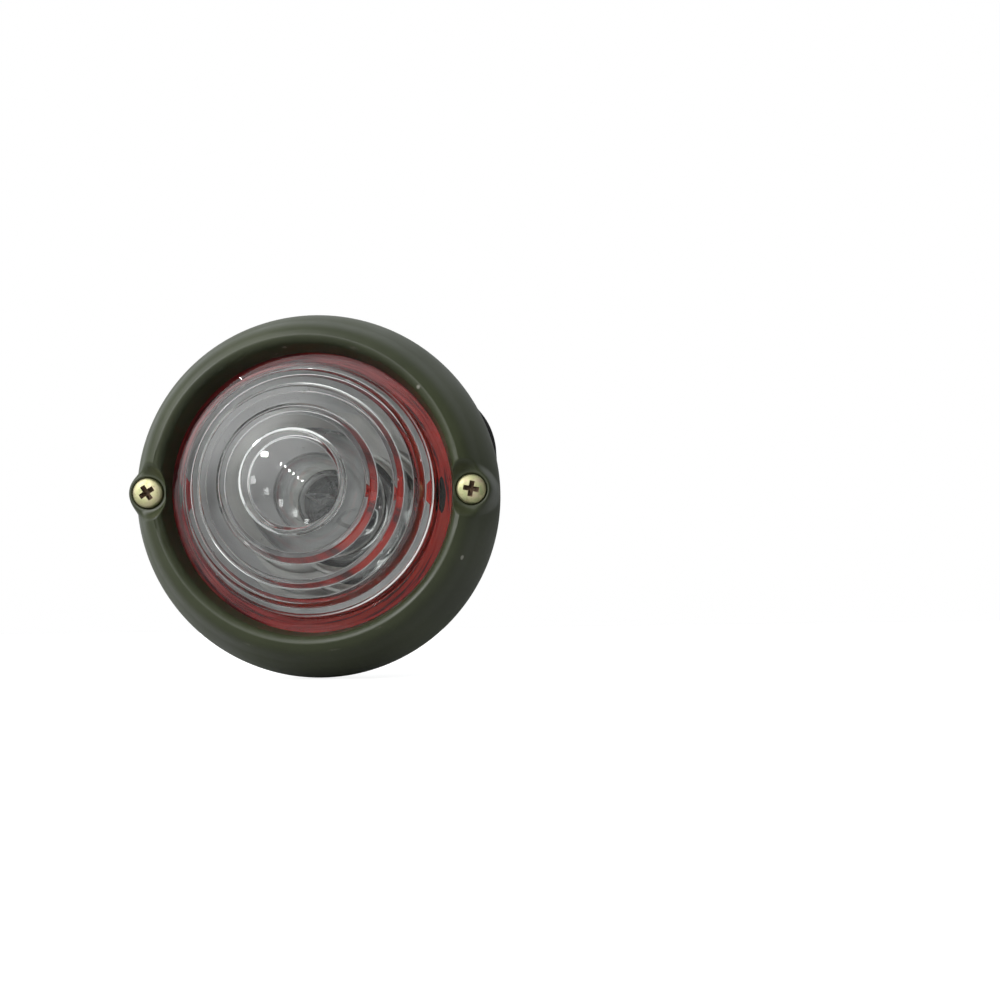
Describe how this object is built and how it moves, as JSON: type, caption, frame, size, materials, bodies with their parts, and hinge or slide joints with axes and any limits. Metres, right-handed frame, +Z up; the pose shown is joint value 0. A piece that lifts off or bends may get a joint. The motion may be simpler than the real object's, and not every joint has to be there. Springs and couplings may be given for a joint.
{
  "type": "parking light",
  "caption": "Round parking light for a vehicle: olive bezel, clear stepped bull's-eye lens on a red gasket, bayonet bulb, studs at the back.",
  "frame": {"origin": "centre of the rubber pad's panel side, where the studs and the cup leave it", "axes": "+Y into the panel along the studs, lens looks along -Y, +Z up, +X to the viewer's right"},
  "size_m": [0.1012, 0.0747, 0.1012],
  "materials": {
    "olive_paint": "semi-matt olive drab enamel",
    "lens_glass": "clear pressed glass",
    "red_rubber": "smooth, slightly shiny",
    "black_rubber": "matt",
    "plated_steel": "zinc plated",
    "bare_steel": "dull plated steel",
    "yellow_zinc": "yellow passivated zinc",
    "bulb_glass": "clear thin glass",
    "brass": "slightly dull",
    "tungsten": "dark wire",
    "black_glass": "fused black insulator",
    "solder": "soft solder",
    "aluminium": "bare rivets",
    "fibre": "pressed insulating fibre"
  },
  "bodies": {
    "housing": {"mounting_pad": "black_rubber", "mounting_studs": "plated_steel", "housing_pan": "plated_steel", "screw_posts": "bare_steel", "lens_gasket": "red_rubber", "lens": "lens_glass", "bezel": "olive_paint", "socket_shell": "bare_steel", "socket_rivets": "aluminium", "contact_spring": "bare_steel", "socket_insulator": "fibre", "live_terminal": "brass", "earth_terminal": "plated_steel"},
    "seal_left": {"screw_seal_left": "black_rubber"},
    "seal_right": {"screw_seal_right": "black_rubber"},
    "screw_left": {"bezel_screw_left": "yellow_zinc"},
    "screw_right": {"bezel_screw_right": "yellow_zinc"},
    "bulb": {"bulb_glass": "bulb_glass", "bulb_stem": "bulb_glass", "bulb_leads": "tungsten", "bulb_filament": "tungsten", "bulb_cap": "brass", "bulb_insulator": "black_glass", "bulb_contact": "solder"},
    "plunger": {"contact_carrier": "fibre", "contact_pin": "brass"}
  },
  "joints": [
    {"name": "screw_left_lift", "type": "slide", "parent": "housing", "child": "seal_left", "axis": [0, -1, 0], "range_m": [0, 0.0056]},
    {"name": "screw_left_turn", "type": "hinge", "parent": "seal_left", "child": "screw_left", "pos_m": [-0.0433, -0.0159, 0], "axis": [0, -1, 0], "range_deg": [0, 2885]},
    {"name": "screw_right_lift", "type": "slide", "parent": "housing", "child": "seal_right", "axis": [0, -1, 0], "range_m": [0, 0.0056]},
    {"name": "screw_right_turn", "type": "hinge", "parent": "seal_right", "child": "screw_right", "pos_m": [0.0433, -0.0159, 0], "axis": [0, -1, 0], "range_deg": [0, 2885]},
    {"name": "bulb_push", "type": "slide", "parent": "housing", "child": "bulb", "axis": [0, 1, 0], "range_m": [0, 0.0025], "stiffness_N_per_m": 1500, "springref_m": -0.003},
    {"name": "plunger_slide", "type": "slide", "parent": "housing", "child": "plunger", "axis": [0, 1, 0], "range_m": [0, 0.00252], "deforming": ["contact_spring"]}
  ],
  "couplings": [
    {"joint": "screw_left_turn", "follows": "screw_left_lift", "rad_per_m": 8976},
    {"joint": "screw_right_turn", "follows": "screw_right_lift", "rad_per_m": 8976},
    {"joint": "plunger_slide", "follows": "bulb_push", "ratio": 1}
  ]
}
